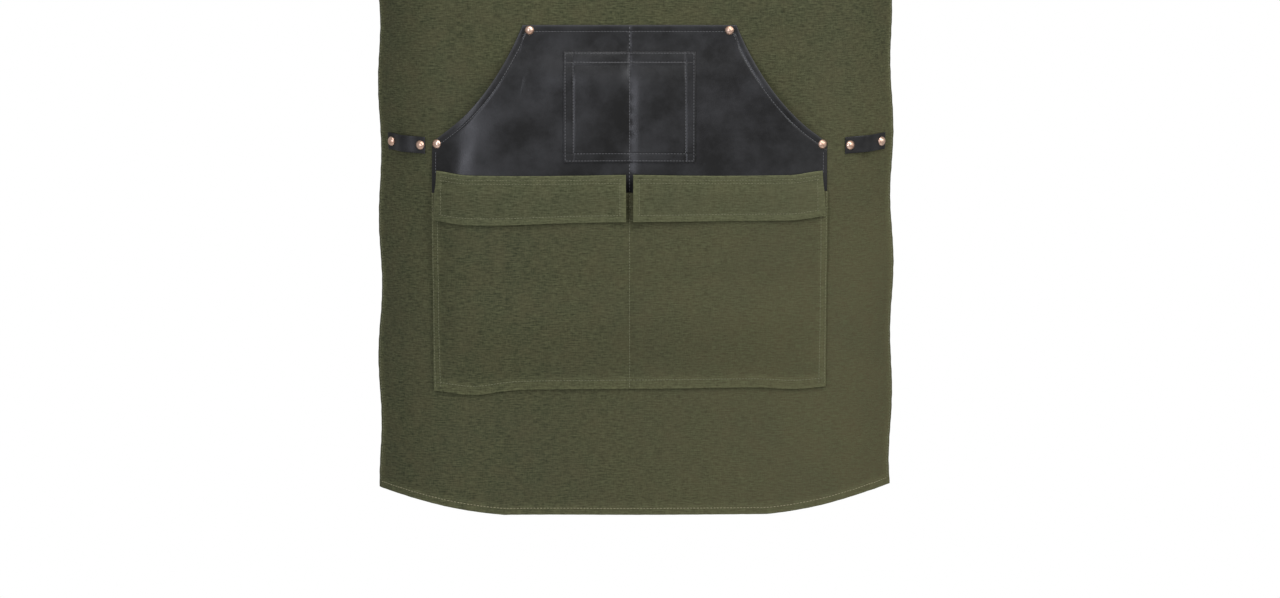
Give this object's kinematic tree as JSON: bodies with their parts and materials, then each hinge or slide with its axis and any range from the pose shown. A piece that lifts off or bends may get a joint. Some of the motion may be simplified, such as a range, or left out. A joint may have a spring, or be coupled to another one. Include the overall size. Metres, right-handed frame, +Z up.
{
  "type": "apron on a hook",
  "caption": "Canvas work apron with leather and canvas pockets, flaps and riveted tool loops, hanging by its neck strap from a wall hook.",
  "frame": {"origin": "the middle of the hook backplate's back face, on the wall", "axes": "+Z up, +Y into the wall, the apron's front faces -Y"},
  "size_m": [0.6442, 0.1365, 1.224],
  "materials": {
    "canvas": "waxed",
    "leather": "satin",
    "copper": "polished",
    "brass": "satin",
    "webbing": "matt",
    "iron": "satin",
    "steel": "satin"
  },
  "bodies": {
    "hook": {"hook_backplate": "iron", "hook_arm": "iron", "hook_screw_upper": "steel", "hook_screw_lower": "steel"},
    "neck_strap": {"neck_strap_long": "leather", "neck_strap_short": "leather", "buckle_frame": "brass", "strap_keeper": "leather", "strap_rivet": "copper", "strap_burr": "copper", "strap_ring_left": "brass", "strap_ring_right": "brass"},
    "apron": {"apron_panel": "canvas", "leather_pocket": "leather", "leather_patch_pocket": "leather", "canvas_pocket": "canvas", "flap_left_heading": "canvas", "flap_right_heading": "canvas", "tool_loop_left": "leather", "tool_loop_right": "leather", "bib_tab_left": "leather", "bib_tab_right": "leather", "pocket_rivet_upper_left": "copper", "pocket_burr_upper_left": "copper", "tab_rivet_left_upper": "copper", "tab_burr_left_upper": "copper", "pocket_rivet_lower_left": "copper", "pocket_burr_lower_left": "copper", "tab_rivet_left_lower": "copper", "tab_burr_left_lower": "copper", "loop_rivet_left_inner": "copper", "loop_burr_left_inner": "copper", "loop_rivet_left_outer": "copper", "loop_burr_left_outer": "copper", "tie_rivet_left": "copper", "tie_burr_left": "copper", "pocket_rivet_upper_right": "copper", "pocket_burr_upper_right": "copper", "tab_rivet_right_upper": "copper", "tab_burr_right_upper": "copper", "pocket_rivet_lower_right": "copper", "pocket_burr_lower_right": "copper", "tab_rivet_right_lower": "copper", "tab_burr_right_lower": "copper", "loop_rivet_right_inner": "copper", "loop_burr_right_inner": "copper", "loop_rivet_right_outer": "copper", "loop_burr_right_outer": "copper", "tie_rivet_right": "copper", "tie_burr_right": "copper"},
    "flap_left": {"flap_left": "canvas"},
    "flap_right": {"flap_right": "canvas"},
    "waist_tie_left": {"waist_tie_left": "webbing"},
    "waist_tie_right": {"waist_tie_right": "webbing"},
    "buckle_prong": {"buckle_prong": "brass"}
  },
  "joints": [
    {"name": "lift_off", "type": "slide", "parent": "hook", "child": "neck_strap", "axis": [0, 0, 1], "range_m": [0, 0.07]},
    {"name": "apron_swing", "type": "hinge", "parent": "neck_strap", "child": "apron", "pos_m": [0, -0.06, -0.255], "axis": [-1, 0, 0], "range_deg": [0, 45]},
    {"name": "buckle_prong_turn", "type": "hinge", "parent": "neck_strap", "child": "buckle_prong", "pos_m": [-0.0773, -0.06, -0.17871], "axis": [0.924, 0, -0.3823], "range_deg": [0, 80]},
    {"name": "flap_left_lift", "type": "hinge", "parent": "apron", "child": "flap_left", "pos_m": [-0.13, -0.088, -0.7557], "axis": [-1, 0, 0], "range_deg": [0, 110]},
    {"name": "flap_right_lift", "type": "hinge", "parent": "apron", "child": "flap_right", "pos_m": [0.12, -0.088, -0.7557], "axis": [-1, 0, 0], "range_deg": [0, 110]},
    {"name": "waist_tie_left_swing", "type": "hinge", "parent": "apron", "child": "waist_tie_left", "pos_m": [-0.30741, -0.03284, -0.524], "axis": [0.7131, 0.7011, 0], "range_deg": [0, 110]},
    {"name": "waist_tie_right_swing", "type": "hinge", "parent": "apron", "child": "waist_tie_right", "pos_m": [0.30741, -0.03284, -0.524], "axis": [0.7131, -0.7011, 0], "range_deg": [0, 110]}
  ]
}
